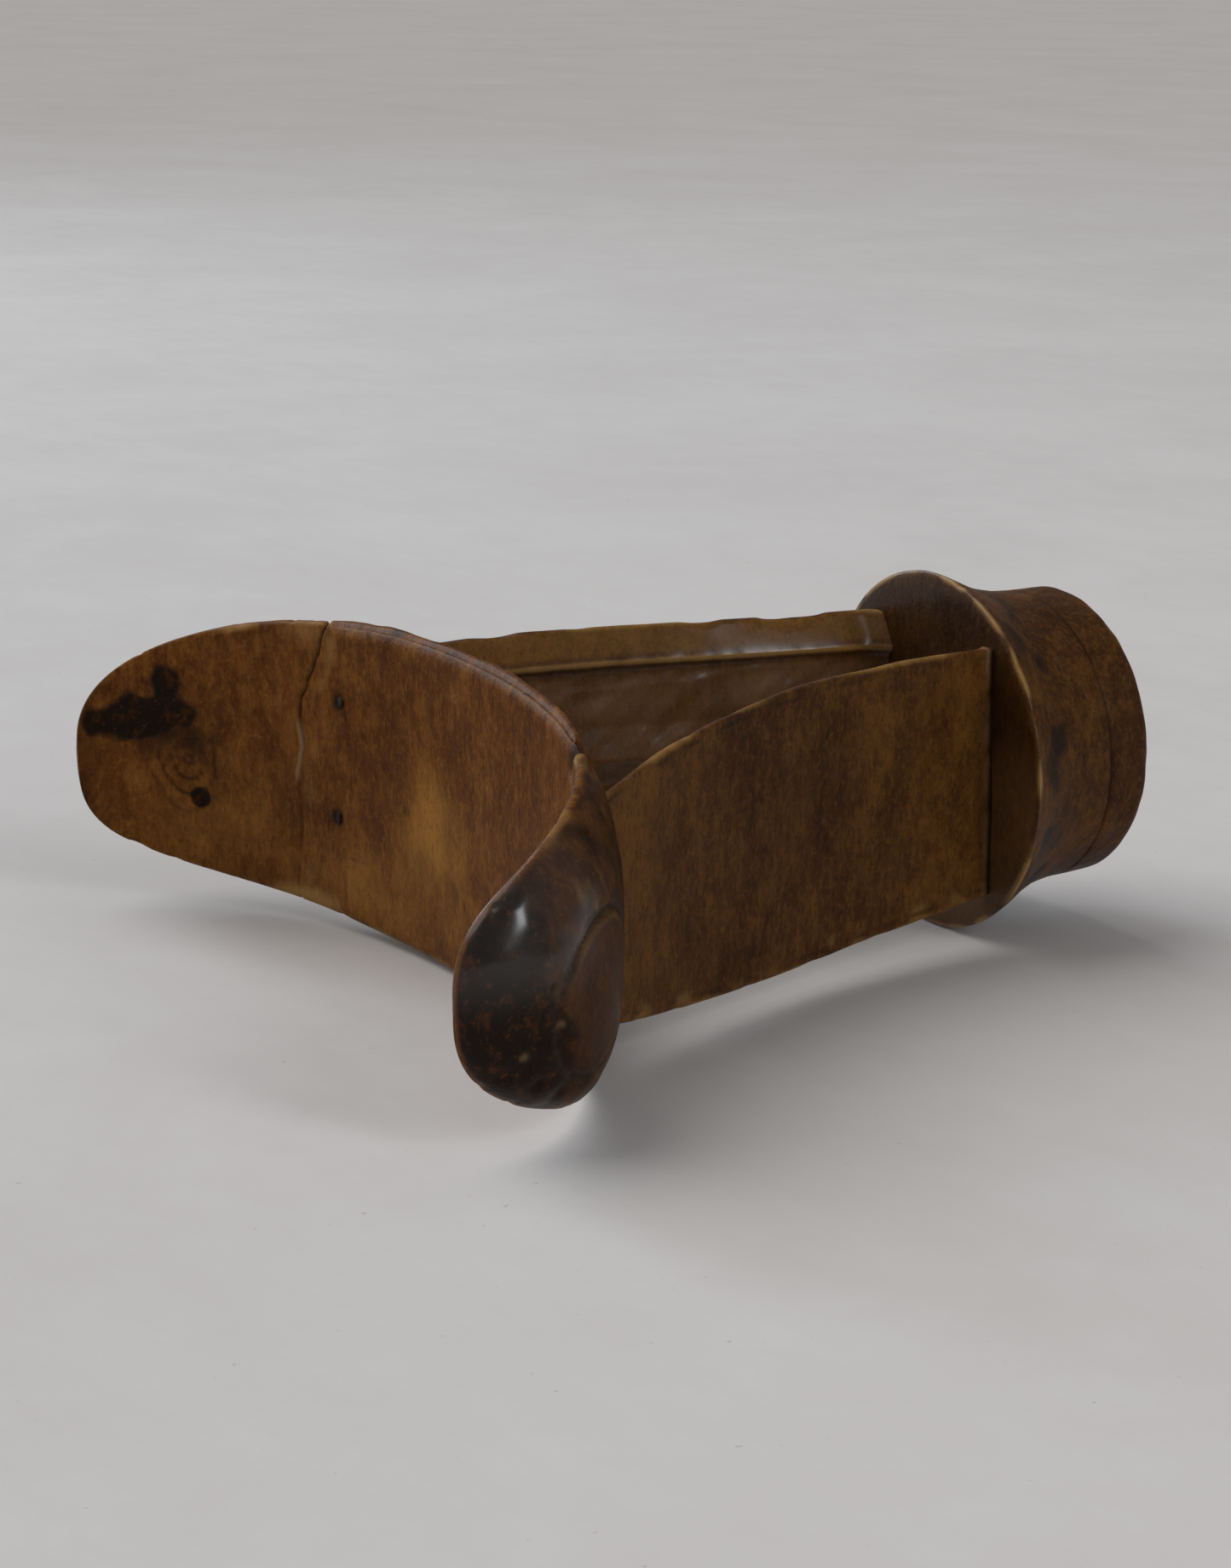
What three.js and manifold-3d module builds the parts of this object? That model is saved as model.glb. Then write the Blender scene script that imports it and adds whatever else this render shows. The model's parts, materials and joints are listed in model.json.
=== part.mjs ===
// A carved wooden headrest lying on its side.
//
// The whole headrest is cut from one block: a round foot with a flange, two
// flaring panels with an open window between them, and a saddle that holds the
// head. The saddle once cracked across, beside the far panel, and two iron
// nails were driven through it into that panel.
//
// It is drawn standing up: +Z from the foot to the saddle, X along the saddle
// and Y across it. Z = 0 is the flange's upper face. The last section lays it
// on its side, on the flange's rim and on the middle of the saddle's long edge.

import * as THREE from 'three';
import Module from 'manifold-3d';
import { mergeVertices } from 'three/addons/utils/BufferGeometryUtils.js';

const wasm = await Module();
wasm.setup();

// ---- Driving dimensions: millimetres, degrees ----

const GAP = 0.3; // between neighbouring solids

const FLANGE_RADIUS = 37;
const FLANGE_THICKNESS = 5;
const RIM_ROUND = 0.7;
const FOOT_RADIUS = 29.8;
const FOOT_ROUND = 1.8;
const BASE_HEIGHT = 33.6;
const NECK_FADE = 10.5; // how far below the flange its flare dies away
const NECK_POWER = 1.5;
const GROOVE_DEPTH = 0.5;
const GROOVE_WIDTH = 1.6;
const GROOVE_Z = -23.5;
const ROUND_SIDES = 60;

const SADDLE_Z = 104.9; // middle of the hollow face
const SADDLE_HALF_ARC = 111.8;
const SADDLE_HALF_WIDTH = 32.2;
const SADDLE_SKEW = 3.2; // the saddle sits a little askew on its panels
const END_TURN = 91; // how far each end has turned up
const EVEN_TURN = 0.25; // the share of that turn that is spread evenly
const OUTLINE_POWER = 2.47;
const OUTLINE_ROOT = 2.96;
const SADDLE_SAG = 1.5; // both ends hang this far below the middle
const SADDLE_EDGE = 3.1;
const SADDLE_TIP_EDGE = 0.4;
const EDGE_BULGE = 0.15; // how far the rim's middle stands out, as a share of its thickness
const UNDERSIDE_POWER = 1.6;
const SADDLE_MIDDLE = 5.8;
const SADDLE_ENDS = 15.4;

const PANEL_ROOT = 21.3; // outer face to the axis, at the flange
const PANEL_FLARE = 34.8; // how much further out that face is at PANEL_TALL
const PANEL_TALL = 106;
const PANEL_POWER = 1.7;
const PANEL_ARC = 55; // where a panel meets the saddle, along the saddle
const PANEL_BURIED = 3.2; // from the hollow face down to the panel's end
const PANEL_WAIST = 52; // height where a panel is widest
// half widths at the waist, and how much narrower they are at the flange and at PANEL_TALL
const PANEL_UPPER = { half: 26.6, footTaper: 1.3, headTaper: 4.6 };
const PANEL_LOWER = { half: 28.4, footTaper: 3.1, headTaper: 5.8 };
// thickness of a panel, from its edge to its middle: [distance in from the edge, thickness]
const PANEL_EDGE = 1.6;
const PANEL_LIP = [6.8, 5.0];
const PANEL_HOLLOW = [9.4, 3.7];
const PANEL_WEB = [20.0, 4.3];
const PANEL_RIDGE = 6.8;

const MEDALLION_ARC = 84.5; // its centre along the saddle
const MEDALLION_LENGTH = 24;
const MEDALLION_WIDTH = 27.2;
const MEDALLION_PROUD = 1.8;
const MEDALLION_SHIFT = -5;

const RESTING_ROLL = 1.1; // lying down, the near end of the saddle is the lower one

const NAIL_HEAD_RADIUS = 1.3;
const NAIL_SHANK_RADIUS = 0.8;
const NAIL_HEAD = 0.9;
const NAIL_LENGTH = 12;
const NAIL_TIP = 0.6; // the tip's radius, as a share of the shank's
const NAIL_TAPER_FROM = 0.8; // the share of the length where the shank starts to taper
const NAILS = [
  { name: 'repair_nail_upper', arc: -51.2, y: 14.2 },
  { name: 'repair_nail_lower', arc: -52.6, y: -9.9 },
];

// the crack's line over the hollow face: [distance along the saddle, distance across it]
const CRACK = [
  [-53, 40], [-55.0, 28.7], [-57.5, 22], [-61.8, 14], [-62.6, 8],
  [-61.3, 4], [-63.0, -2], [-62.7, -14], [-63.8, -26], [-62, -40],
];

// ---- Helpers ----

const radians = THREE.MathUtils.degToRad;

/** A closed solid through rings of points, capped with a fan at both ends. */
function loft(rings) {
  const count = rings[0].length;
  const points = rings.flat();
  const faces = [];
  for (let r = 0; r + 1 < rings.length; r += 1) {
    for (let i = 0; i < count; i += 1) {
      const j = (i + 1) % count;
      const a = r * count + i;
      const b = r * count + j;
      faces.push(a, b, b + count, a, b + count, a + count);
    }
  }
  const addCap = (start, flip) => {
    const ring = points.slice(start, start + count);
    const centre = ring.reduce((sum, p) => sum.add(p), new THREE.Vector3()).divideScalar(count);
    points.push(centre);
    for (let i = 0; i < count; i += 1) {
      const j = (i + 1) % count;
      const pair = flip ? [start + j, start + i] : [start + i, start + j];
      faces.push(points.length - 1, ...pair);
    }
  };
  addCap(0, true);
  addCap((rings.length - 1) * count, false);
  const geometry = new THREE.BufferGeometry().setFromPoints(points);
  geometry.setIndex(faces);
  return geometry;
}

function toSolid(geometry) {
  const bare = geometry.clone();
  bare.deleteAttribute('normal');
  bare.deleteAttribute('uv');
  const merged = mergeVertices(bare, 1e-4);
  const mesh = new wasm.Mesh({
    numProp: 3,
    vertProperties: Float32Array.from(merged.attributes.position.array),
    triVerts: Uint32Array.from(merged.index.array),
  });
  return new wasm.Manifold(mesh);
}

function toGeometry(solid) {
  const mesh = solid.getMesh();
  const geometry = new THREE.BufferGeometry();
  geometry.setAttribute('position', new THREE.BufferAttribute(Float32Array.from(mesh.vertProperties), 3));
  geometry.setIndex(new THREE.BufferAttribute(Uint32Array.from(mesh.triVerts), 1));
  return geometry;
}

function outlineShape(points) {
  return new THREE.Shape(points.map(([x, y]) => new THREE.Vector2(x, y)));
}

// ---- The saddle's hollow face ----

function turnAt(arc) {
  const share = arc / SADDLE_HALF_ARC;
  const turn = EVEN_TURN * share + (1 - EVEN_TURN) * share ** 3;
  return radians(END_TURN * turn + SADDLE_SKEW);
}

/** Where the hollow face's middle line is, and the direction out through the underside. */
function saddlePoint(arc) {
  const steps = 200;
  let x = 0;
  let z = SADDLE_Z;
  for (let i = 0; i < steps; i += 1) {
    const turn = turnAt((arc * (i + 0.5)) / steps);
    x += (Math.cos(turn) * arc) / steps;
    z += (Math.sin(turn) * arc) / steps;
  }
  const turn = turnAt(arc);
  return { x, z, outX: Math.sin(turn), outZ: -Math.cos(turn), turn };
}

/** The saddle, or the same shape grown on every side. */
function saddleSolid(grow = 0) {
  const ringCount = 48;
  const across = 12;
  const rings = [];
  for (let r = 1; r < ringCount; r += 1) {
    const share = -Math.cos((Math.PI * r) / ringCount);
    const tip = Math.abs(share) ** OUTLINE_POWER;
    const halfWidth = SADDLE_HALF_WIDTH * (1 - tip) ** (1 / OUTLINE_ROOT) + grow;
    const thickness = SADDLE_MIDDLE + (SADDLE_ENDS - SADDLE_MIDDLE) * share ** 2;
    const edge = SADDLE_EDGE * (1 - share ** 2) + SADDLE_TIP_EDGE;
    const spine = saddlePoint(share * (SADDLE_HALF_ARC + grow));
    const sag = SADDLE_SAG * share ** 2;
    const ring = [];
    const add = (y, depth) => {
      ring.push(new THREE.Vector3(spine.x + spine.outX * depth, y - sag, spine.z + spine.outZ * depth));
    };
    for (let i = 0; i <= across; i += 1) {
      const side = Math.cos((Math.PI * i) / across);
      add(side * halfWidth, -grow);
    }
    add(-halfWidth - EDGE_BULGE * edge, edge / 2);
    for (let i = across; i >= 0; i -= 1) {
      const side = Math.cos((Math.PI * i) / across);
      const near = tip + (1 - tip) * side ** 2;
      const bulge = thickness * Math.sqrt(Math.max(0, 1 - near ** UNDERSIDE_POWER));
      add(side * halfWidth, Math.max(bulge, edge) + grow);
    }
    add(halfWidth + EDGE_BULGE * edge, edge / 2);
    rings.push(ring);
  }
  return toSolid(loft(rings));
}

/** A prism through the saddle with the given outline, in distances along and across it. */
function prismThroughSaddle(points, centreArc) {
  const reach = 40;
  const shape = outlineShape(points.map(([arc, y]) => [arc - centreArc, y]));
  const prism = new THREE.ExtrudeGeometry(shape, { depth: 2 * reach, bevelEnabled: false });
  prism.translate(0, 0, -reach);
  const spine = saddlePoint(centreArc);
  prism.rotateY(-spine.turn);
  prism.translate(spine.x, 0, spine.z);
  return toSolid(prism);
}

// ---- Sub-parts ----

function baseRadius(z) {
  const flare = Math.exp(-((-z / NECK_FADE) ** NECK_POWER));
  const groove = GROOVE_DEPTH * Math.exp(-(((z - GROOVE_Z) / (GROOVE_WIDTH / 2)) ** 2));
  return FOOT_RADIUS + (FLANGE_RADIUS - FOOT_RADIUS) * flare - groove;
}

function turned(profile) {
  const geometry = new THREE.LatheGeometry(profile, ROUND_SIDES);
  geometry.rotateX(Math.PI / 2);
  return geometry;
}

function flangeDisc() {
  const bottom = -FLANGE_THICKNESS;
  const profile = [new THREE.Vector2(0, bottom)];
  const steps = 4;
  for (let i = 0; i <= steps; i += 1) {
    const z = bottom + ((FLANGE_THICKNESS - 2 * RIM_ROUND) * i) / steps;
    profile.push(new THREE.Vector2(baseRadius(z), z));
  }
  profile.push(new THREE.Vector2(FLANGE_RADIUS, -RIM_ROUND));
  profile.push(new THREE.Vector2(FLANGE_RADIUS - RIM_ROUND, 0));
  profile.push(new THREE.Vector2(0, 0));
  return turned(profile);
}

function baseDrum() {
  const top = -FLANGE_THICKNESS - GAP;
  const foot = -BASE_HEIGHT;
  const profile = [new THREE.Vector2(0, foot)];
  const rounding = 4;
  for (let i = 0; i <= rounding; i += 1) {
    const turn = (Math.PI / 2) * (i / rounding);
    const out = FOOT_RADIUS - FOOT_ROUND * (1 - Math.sin(turn));
    profile.push(new THREE.Vector2(out, foot + FOOT_ROUND * (1 - Math.cos(turn))));
  }
  const steps = 18;
  for (let i = 1; i <= steps; i += 1) {
    const z = foot + FOOT_ROUND + ((top - foot - FOOT_ROUND) * i) / steps;
    profile.push(new THREE.Vector2(baseRadius(z), z));
  }
  profile.push(new THREE.Vector2(0, top));
  return turned(profile);
}

function panelFace(z) {
  return PANEL_ROOT + PANEL_FLARE * (z / PANEL_TALL) ** PANEL_POWER;
}

function panelHalfWidth({ half, footTaper, headTaper }, z) {
  if (z < PANEL_WAIST) return half - footTaper * (1 - z / PANEL_WAIST) ** 2;
  return half - headTaper * ((z - PANEL_WAIST) / (PANEL_TALL - PANEL_WAIST)) ** 2;
}

/** A panel up to where it enters the saddle; side is +1 for the near one, -1 for the far one. */
function panelSolid(side) {
  const tall = saddlePoint(side * PANEL_ARC).z - PANEL_BURIED;
  const ringCount = 15;
  const rings = [];
  for (let r = 0; r < ringCount; r += 1) {
    const z = GAP + ((tall - GAP) * r) / (ringCount - 1);
    const face = panelFace(z);
    const top = panelHalfWidth(PANEL_UPPER, z);
    const bottom = panelHalfWidth(PANEL_LOWER, z);
    const inner = [[0, PANEL_EDGE], PANEL_LIP, PANEL_HOLLOW, PANEL_WEB];
    const upper = inner.map(([inset, thick]) => [face - thick, top - inset]);
    const lower = inner.map(([inset, thick]) => [face - thick, inset - bottom]).reverse();
    const section = [
      [face, -bottom], [face, 0], [face, top], ...upper, [face - PANEL_RIDGE, 0], ...lower,
    ];
    rings.push(section.map(([x, y]) => new THREE.Vector3(side * x, y, z)));
  }
  return toSolid(side > 0 ? loft(rings) : loft(rings.map((ring) => ring.reverse())));
}

function medallionSolid(side) {
  const outline = [];
  const sides = 40;
  for (let i = 0; i < sides; i += 1) {
    const turn = (2 * Math.PI * i) / sides;
    outline.push([
      side * MEDALLION_ARC + (MEDALLION_LENGTH / 2) * Math.cos(turn),
      MEDALLION_SHIFT + (MEDALLION_WIDTH / 2) * Math.sin(turn),
    ]);
  }
  const centre = saddlePoint(side * MEDALLION_ARC);
  const wide = 90;
  const deep = 60;
  const underside = new THREE.BoxGeometry(wide, wide, deep);
  underside.translate(0, 0, -(deep + SADDLE_MIDDLE) / 2);
  underside.rotateY(-centre.turn);
  underside.translate(centre.x, 0, centre.z);
  return prismThroughSaddle(outline, side * MEDALLION_ARC)
    .intersect(saddleSolid(MEDALLION_PROUD))
    .intersect(toSolid(underside))
    .subtract(saddleSolid(GAP));
}

/** A nail from the hollow face into the middle of the far panel. */
function nailSolid({ arc, y }, grow = 0) {
  const start = saddlePoint(arc);
  const endZ = start.z - NAIL_LENGTH;
  const endX = -panelFace(endZ) + PANEL_WEB[1] / 2;
  const head = NAIL_HEAD_RADIUS + grow;
  const shank = NAIL_SHANK_RADIUS + grow;
  const profile = [
    new THREE.Vector2(0, -NAIL_LENGTH - grow),
    new THREE.Vector2(shank * NAIL_TIP, -NAIL_LENGTH - grow),
    new THREE.Vector2(shank, -NAIL_LENGTH * NAIL_TAPER_FROM),
    new THREE.Vector2(shank, -NAIL_HEAD - grow),
    new THREE.Vector2(head, -NAIL_HEAD - grow),
    new THREE.Vector2(head, grow),
    new THREE.Vector2(0, grow),
  ];
  const rings = profile.slice(1, -1).map((p) => {
    const ring = [];
    const sides = 16;
    for (let i = 0; i < sides; i += 1) {
      const turn = (2 * Math.PI * i) / sides;
      ring.push(new THREE.Vector3(p.x * Math.cos(turn), p.x * Math.sin(turn), p.y));
    }
    return ring;
  });
  const geometry = loft(rings);
  geometry.rotateY(Math.atan2(start.x - endX, NAIL_LENGTH));
  geometry.translate(start.x, y, start.z);
  return toSolid(geometry);
}

// ---- Cutting the neighbours clear of each other ----

const nails = NAILS.map((nail) => ({ ...nail, solid: nailSolid(nail), hole: nailSolid(nail, GAP) }));
const saddle = nails.reduce((solid, nail) => solid.subtract(nail.hole), saddleSolid());

/** Everything on the far side of the crack, after the crack is moved along the saddle. */
function beyondCrack(shift) {
  const crack = CRACK.map(([arc, y]) => [arc + shift, y]);
  const clearOfSaddle = [[-150, -40], [-150, 40]];
  const crackMiddle = -60;
  return prismThroughSaddle([...crack, ...clearOfSaddle], crackMiddle);
}

const farLobe = saddle.intersect(beyondCrack(-GAP / 2));
const headRest = saddle.subtract(beyondCrack(GAP / 2));

const grownSaddle = saddleSolid(GAP);
const nearPanel = panelSolid(1).subtract(grownSaddle);
const farPanel = nails.reduce(
  (solid, nail) => solid.subtract(nail.hole),
  panelSolid(-1).subtract(grownSaddle),
);

// ---- The scene graph ----

function wood(color, roughness) {
  return new THREE.MeshStandardMaterial({ color, roughness, metalness: 0 });
}

const saddleWood = wood(0x7a4a20, 0.45);
const panelWood = wood(0x5e3a1e, 0.55);
const lobeWood = wood(0x3a2415, 0.35);
const iron = new THREE.MeshStandardMaterial({ color: 0x2d2d30, roughness: 0.6, metalness: 0.8 });

const upright = new THREE.Group();

function addPiece(name, geometry, material) {
  const mesh = new THREE.Mesh(geometry, material.clone());
  mesh.name = name;
  upright.add(mesh);
}

addPiece('head_rest', toGeometry(headRest), saddleWood);
addPiece('far_lobe', toGeometry(farLobe), saddleWood);
addPiece('near_medallion', toGeometry(medallionSolid(1)), lobeWood);
addPiece('far_medallion', toGeometry(medallionSolid(-1)), lobeWood);
addPiece('near_panel', toGeometry(nearPanel), panelWood);
addPiece('far_panel', toGeometry(farPanel), panelWood);
addPiece('flange_disc', flangeDisc(), panelWood);
addPiece('base_drum', baseDrum(), panelWood);
for (const nail of nails) addPiece(nail.name, toGeometry(nail.solid), iron);

// ---- Laying it on its side ----

/** The axis points to -X and dips by tilt; roll lowers the near end of the saddle. */
function lyingMatrix(tilt, roll) {
  const axis = new THREE.Vector3(-Math.cos(tilt), 0, -Math.sin(tilt));
  const across = new THREE.Vector3(-Math.sin(tilt), 0, Math.cos(tilt));
  const along = new THREE.Vector3(0, -1, 0);
  along.applyAxisAngle(axis, -roll);
  across.applyAxisAngle(axis, -roll);
  return new THREE.Matrix4().makeBasis(along, across, axis);
}

/** The upright headrest's vertices that pass a test. */
function verticesWhere(isWanted) {
  const points = [];
  for (const mesh of upright.children) {
    const position = mesh.geometry.attributes.position;
    for (let i = 0; i < position.count; i += 1) {
      const point = new THREE.Vector3().fromBufferAttribute(position, i);
      if (isWanted(point)) points.push(point);
    }
  }
  return points;
}

function lowest(points, matrix) {
  return Math.min(...points.map((point) => point.clone().applyMatrix4(matrix).z));
}

/** Tilt until the flange's rim and the saddle's long edge touch the ground together. */
function settledMatrix() {
  const footEnd = verticesWhere((point) => point.z <= 0);
  const saddleEnd = verticesWhere((point) => point.z > SADDLE_Z / 2);
  const steps = 40;
  let tilt = 0;
  for (let i = 0; i < steps; i += 1) {
    const matrix = lyingMatrix(tilt, radians(RESTING_ROLL));
    tilt += (lowest(saddleEnd, matrix) - lowest(footEnd, matrix)) / SADDLE_Z;
  }
  return lyingMatrix(tilt, radians(RESTING_ROLL));
}

upright.applyMatrix4(settledMatrix());
upright.updateMatrixWorld(true);
const box = new THREE.Box3().setFromObject(upright, true);
upright.position.x -= (box.min.x + box.max.x) / 2;
upright.position.y -= (box.min.y + box.max.y) / 2;
upright.position.z -= box.min.z;

const headrest = new THREE.Group();
headrest.add(upright);

export default headrest;
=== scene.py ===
import json
import math

import bmesh
import bpy
import numpy as np
from mathutils import Matrix, Quaternion, Vector, noise


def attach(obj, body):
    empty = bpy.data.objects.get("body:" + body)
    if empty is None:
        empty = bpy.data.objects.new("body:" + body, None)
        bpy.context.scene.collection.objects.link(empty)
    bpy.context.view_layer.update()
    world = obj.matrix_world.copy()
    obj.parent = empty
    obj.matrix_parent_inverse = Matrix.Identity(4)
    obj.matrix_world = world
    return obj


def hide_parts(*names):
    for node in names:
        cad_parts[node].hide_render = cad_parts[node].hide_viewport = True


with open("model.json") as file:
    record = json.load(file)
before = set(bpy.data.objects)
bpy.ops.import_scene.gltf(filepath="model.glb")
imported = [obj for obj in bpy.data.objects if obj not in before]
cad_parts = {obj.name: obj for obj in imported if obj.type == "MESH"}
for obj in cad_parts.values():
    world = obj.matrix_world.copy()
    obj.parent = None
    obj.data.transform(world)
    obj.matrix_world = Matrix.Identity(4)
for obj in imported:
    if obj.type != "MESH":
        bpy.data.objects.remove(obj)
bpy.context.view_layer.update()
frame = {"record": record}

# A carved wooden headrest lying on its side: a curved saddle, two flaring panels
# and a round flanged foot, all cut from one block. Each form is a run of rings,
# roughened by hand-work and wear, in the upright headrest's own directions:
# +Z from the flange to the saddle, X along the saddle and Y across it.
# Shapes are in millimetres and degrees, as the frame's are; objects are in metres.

MM = 0.001

# ---- Driving dimensions: the frame's own, a few of them drawn in slightly ----

FLANGE_RADIUS = 36.9
RIM_ROUND = 0.7
FOOT_RADIUS = 29.7
FOOT_ROUND = 2.2
BASE_HEIGHT = 33.6
NECK_FADE = 10.5
NECK_POWER = 1.5

SADDLE_Z = 104.9
SADDLE_HALF_ARC = 111.8
SADDLE_HALF_WIDTH = 32.2
SADDLE_SKEW = 3.2
# how far each end has turned up, and the share of that turn that is spread evenly
END_TURN = 91
EVEN_TURN = 0.25
OUTLINE_POWER = 2.47
OUTLINE_ROOT = 2.96
SADDLE_SAG = 1.5
SADDLE_EDGE = 3.1
SADDLE_TIP_EDGE = 0.4
# how far the rim's middle stands out, as a share of its thickness
EDGE_BULGE = 0.1
UNDERSIDE_POWER = 1.6
SADDLE_MIDDLE = 5.8
SADDLE_ENDS = 15.4

PANEL_ROOT = 21.3
PANEL_FLARE = 34.8
PANEL_TALL = 106
PANEL_POWER = 1.7
# the height where a panel is widest, and its half widths there and towards its ends
PANEL_WAIST = 52
PANEL_UPPER = {"half": 26.6, "foot_taper": 1.3, "head_taper": 4.6}
PANEL_LOWER = {"half": 28.4, "foot_taper": 3.1, "head_taper": 5.8}
PANEL_ARC = 55
# across the inner side: distance in from the edge, and thickness there
PANEL_INNER = [(0, 1.6), (6.8, 5.2), (8.6, 3.6), (20, 4.3)]
PANEL_RIDGE = 6.8

RESTING_ROLL = 1.1

MEDALLION = {"arc": 84.5, "across": -4.2, "half_length": 12, "half_width": 13.6}
NAILS = {"repair_nail_upper": (-51.2, 14.2), "repair_nail_lower": (-52.6, -9.9)}
NAIL_HEAD_RADIUS = 1.3
NAIL_LENGTH = 12
NAIL_SUNK = 0.2
NAIL_SIDES = 28

# the crack's line over the hollow face: (distance across the saddle, distance along it)
CRACK = [
    (-40, -62), (-26, -63.8), (-14, -62.7), (-2, -63.0), (4, -61.3),
    (8, -62.6), (14, -61.8), (22, -57.5), (28.7, -55.0), (40, -53),
]

# ---- Where the upright headrest lies in the frame ----

foot_mount = frame["record"]["mounts"][0]
foot_axis = Vector(foot_mount["axis"]).normalized()
UP_AXIS = -foot_axis
level_along = Vector((0, -1, 0))
ALONG = Quaternion(UP_AXIS, -math.radians(RESTING_ROLL)) @ level_along
ACROSS = UP_AXIS.cross(ALONG)
LYING = Matrix((ALONG, ACROSS, UP_AXIS)).transposed().to_4x4()
LYING.translation = Vector(foot_mount["pos_m"]) + UP_AXIS * BASE_HEIGHT * MM

# ---- Formulas ----


def smoothstep(low, high, value):
    """0 at low, 1 at high, and a smooth rise between them."""
    share = np.clip((value - low) / (high - low), 0, 1)
    return share * share * (3 - 2 * share)


def hill(value, centre, width):
    """1 at the centre, fading away over the width on both sides."""
    return np.exp(-(((value - centre) / width) ** 2))


def lumps(points, size, seed, stretch=(1, 1, 1)):
    """Smooth noise from -1 to 1 at each point; size is how large its lumps are."""
    shift = Vector((seed * 17.3, seed * -9.1, seed * 4.7))
    scaled = points / (size * np.array(stretch))
    return np.array([noise.noise(Vector(p) + shift) for p in scaled])


def turn_at(arc):
    """How far the saddle has turned up at a distance along it, in radians."""
    share = arc / SADDLE_HALF_ARC
    turn = EVEN_TURN * share + (1 - EVEN_TURN) * share**3
    return np.radians(END_TURN * turn + SADDLE_SKEW)


def saddle_spine(arcs):
    """Middle line of the hollow face, and the direction out through the underside."""
    steps = 200
    middles = (np.arange(steps) + 0.5) / steps
    turns = turn_at(np.outer(arcs, middles))
    x = np.cos(turns).mean(1) * arcs
    z = SADDLE_Z + np.sin(turns).mean(1) * arcs
    turn = turn_at(arcs)
    return x, z, np.sin(turn), -np.cos(turn)


def panel_face(z):
    """Distance from the axis to a panel's outer side."""
    return PANEL_ROOT + PANEL_FLARE * (np.maximum(z, 0) / PANEL_TALL) ** PANEL_POWER


def panel_half(side, z):
    """Distance from a panel's middle to its upper or lower edge."""
    low = side["half"] - side["foot_taper"] * (1 - z / PANEL_WAIST) ** 2
    high = side["half"] - side["head_taper"] * ((z - PANEL_WAIST) / (PANEL_TALL - PANEL_WAIST)) ** 2
    return np.where(z < PANEL_WAIST, low, high)


def base_radius(z):
    """The drum's radius, flaring up to the flange's."""
    flare = np.exp(-((np.maximum(-z, 0) / NECK_FADE) ** NECK_POWER))
    return FOOT_RADIUS + (FLANGE_RADIUS - FOOT_RADIUS) * flare


# ---- Mesh helpers ----


def even_ring(outline, count, rounding):
    """The closed outline with count even points, its corners rounded by averaging."""
    closed = np.vstack([outline, outline[:1]])
    reach = np.concatenate([[0], np.cumsum(np.linalg.norm(np.diff(closed, axis=0), axis=1))])
    marks = np.linspace(0, reach[-1], count, endpoint=False)
    ring = np.column_stack([np.interp(marks, reach, closed[:, k]) for k in range(2)])
    for _ in range(rounding):
        ring = (np.roll(ring, 1, 0) + 2 * ring + np.roll(ring, -1, 0)) / 4
    return ring


def solid_from_rings(name, rings):
    """A closed upright mesh through rings of points in millimetres."""
    ring_count, count = rings.shape[:2]
    points = np.vstack([rings.reshape(-1, 3), rings[0].mean(0), rings[-1].mean(0)])
    faces = []
    for r in range(ring_count - 1):
        for i in range(count):
            a = r * count + i
            b = r * count + (i + 1) % count
            faces.append((a, b, b + count, a + count))
    first, last = ring_count * count, ring_count * count + 1
    for i in range(count):
        j = (i + 1) % count
        faces.append((first, j, i))
        faces.append((last, first - count + i, first - count + j))
    mesh = bpy.data.meshes.new(name)
    mesh.from_pydata((points * MM).tolist(), [], faces)
    editable = bmesh.new()
    editable.from_mesh(mesh)
    bmesh.ops.recalc_face_normals(editable, faces=editable.faces)
    editable.to_mesh(mesh)
    editable.free()
    mesh.shade_smooth()
    piece = bpy.data.objects.new(name, mesh)
    bpy.context.scene.collection.objects.link(piece)
    return piece


def lay_down(piece, slot, *nodes):
    """Turns the finished upright piece as the headrest lies, and ties it to the frame."""
    piece.data.transform(LYING)
    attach(piece, "root")
    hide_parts(*nodes)
    return piece


def points_of(piece):
    flat = np.zeros(len(piece.data.vertices) * 3)
    piece.data.vertices.foreach_get("co", flat)
    return flat.reshape(-1, 3) / MM


def push_out(piece, depths):
    """Moves each vertex along its normal, by millimetres."""
    normals = np.array([v.normal for v in piece.data.vertices])
    moved = points_of(piece) + normals * depths[:, None]
    piece.data.vertices.foreach_set("co", (moved * MM).ravel())
    piece.data.update()


def mark(piece, name, values):
    """Stores one number for each vertex, for the materials."""
    attribute = piece.data.attributes.new(name, "FLOAT", "POINT")
    attribute.data.foreach_set("value", np.clip(values, 0, 1).astype(np.float32))


def with_caps(grid):
    """Values on rings, with one more for each end's middle vertex."""
    return np.concatenate([grid.ravel(), [grid[0].mean()], [grid[-1].mean()]])


def dents(a, b, spots):
    """Round hollows: one for each spot (a, b, radius, depth), as depths below 0."""
    total = np.zeros_like(a)
    for at_a, at_b, radius, depth in spots:
        total -= depth * np.exp(-((a - at_a) ** 2 + (b - at_b) ** 2) / radius**2)
    return total


# ---- The saddle ----

SADDLE_RINGS = 230
SADDLE_SIDES = 200
# the rings stand closer together over the crack
CRACK_START = -66.5
CRACK_END = -52
CRACK_STEP = 0.25
CRACK_WIDTH = 0.34
NOTCH_ARC = 55
NAIL_PIT_RADIUS = 1.9
FAINT_SPOT = (-28.4, -3.7, 1.4)

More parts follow.
